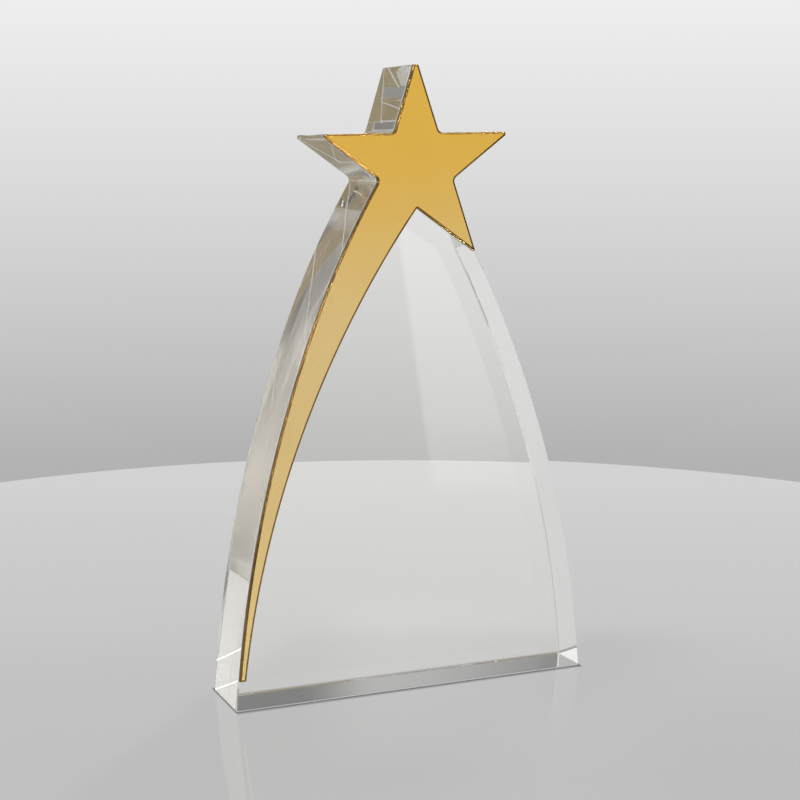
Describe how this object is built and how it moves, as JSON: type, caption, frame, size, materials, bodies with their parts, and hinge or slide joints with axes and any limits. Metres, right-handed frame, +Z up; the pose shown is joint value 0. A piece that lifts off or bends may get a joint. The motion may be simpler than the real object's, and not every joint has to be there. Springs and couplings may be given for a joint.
{
  "type": "star trophy",
  "caption": "Clear slab award with a star-shaped top and arched sides, faced with a gold star whose tail sweeps down one edge; it stands on its own flat foot.",
  "frame": {"origin": "on the ground, under the middle of the whole object's bounding box", "axes": "+Z up along the height, -Y out of the gold front face, +X to the right when looking at the front"},
  "size_m": [0.124, 0.0254, 0.2032],
  "materials": {
    "crystal": "optically polished on every face",
    "bond": "smooth thin adhesive layer",
    "gold": "polished gold plate with a soft haze"
  },
  "bodies": {
    "root": {"crystal_block": "crystal", "bond_film": "bond", "gold_star_plate": "gold"}
  },
  "joints": []
}
